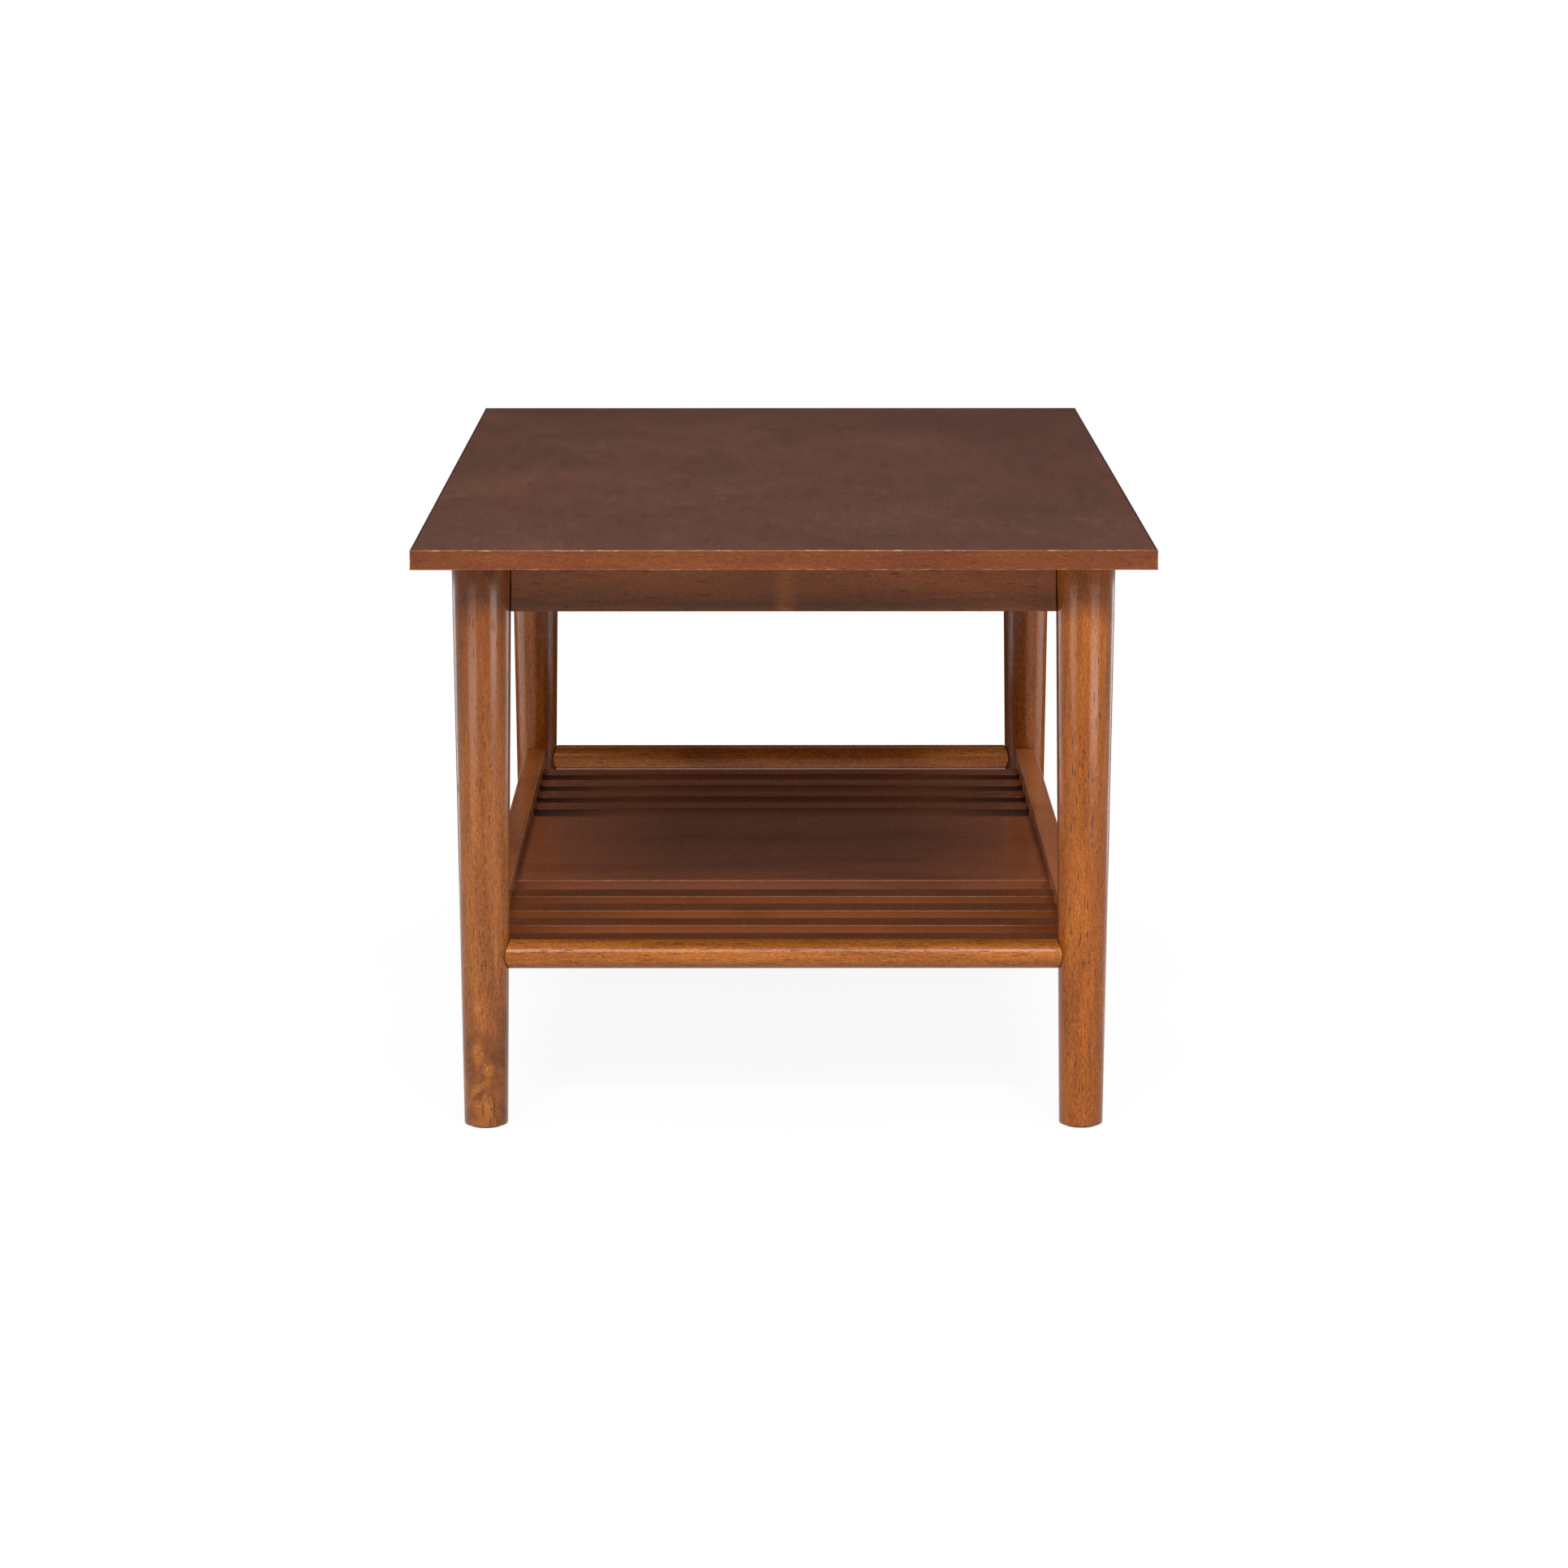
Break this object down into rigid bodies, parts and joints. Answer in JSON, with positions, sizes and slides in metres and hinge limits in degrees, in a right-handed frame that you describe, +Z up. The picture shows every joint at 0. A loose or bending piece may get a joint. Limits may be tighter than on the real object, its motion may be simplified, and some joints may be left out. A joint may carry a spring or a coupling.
{
  "type": "coffee table",
  "caption": "Rectangular wooden coffee table with turned tapered legs, flat aprons and a low slatted shelf with a solid centre panel between round end rails.",
  "frame": {"origin": "centre of the table's footprint, on the floor under the foot glides", "axes": "+X across the width to the right, +Y along the length away from the pictured end, +Z up"},
  "size_m": [0.559, 1.118, 0.457],
  "materials": {
    "top_veneer": "satin dark brown stain",
    "edge_band": "satin red-brown stain",
    "core_board": "raw board",
    "backing_veneer": "matt stain",
    "leg_wood": "satin orange-brown stain",
    "apron_wood": "satin dark brown stain",
    "block_wood": "raw wood",
    "end_rail_wood": "satin orange-brown stain",
    "side_rail_wood": "satin red-brown stain",
    "shelf_wood": "satin dark brown stain",
    "zinc_steel": "zinc plated",
    "felt": "pressed felt"
  },
  "bodies": {
    "root": {"backing_veneer": "backing_veneer", "bolt_nuts": "zinc_steel", "bolt_washers": "zinc_steel", "corner_block_back_left": "block_wood", "corner_block_back_right": "block_wood", "corner_block_front_left": "block_wood", "corner_block_front_right": "block_wood", "end_apron_back": "apron_wood", "end_apron_front": "apron_wood", "end_band_back": "edge_band", "end_band_front": "edge_band", "end_rail_back": "end_rail_wood", "end_rail_front": "end_rail_wood", "foot_glides": "felt", "hanger_bolts": "zinc_steel", "leg_back_left": "leg_wood", "leg_back_right": "leg_wood", "leg_front_left": "leg_wood", "leg_front_right": "leg_wood", "shelf_panel": "shelf_wood", "side_apron_left": "apron_wood", "side_apron_right": "apron_wood", "side_band_left": "edge_band", "side_band_right": "edge_band", "side_rail_left": "side_rail_wood", "side_rail_right": "side_rail_wood", "slat_back_1": "shelf_wood", "slat_back_2": "shelf_wood", "slat_back_3": "shelf_wood", "slat_back_4": "shelf_wood", "slat_front_1": "shelf_wood", "slat_front_2": "shelf_wood", "slat_front_3": "shelf_wood", "slat_front_4": "shelf_wood", "top_core": "core_board", "top_screws": "zinc_steel", "top_veneer": "top_veneer"}
  },
  "joints": []
}
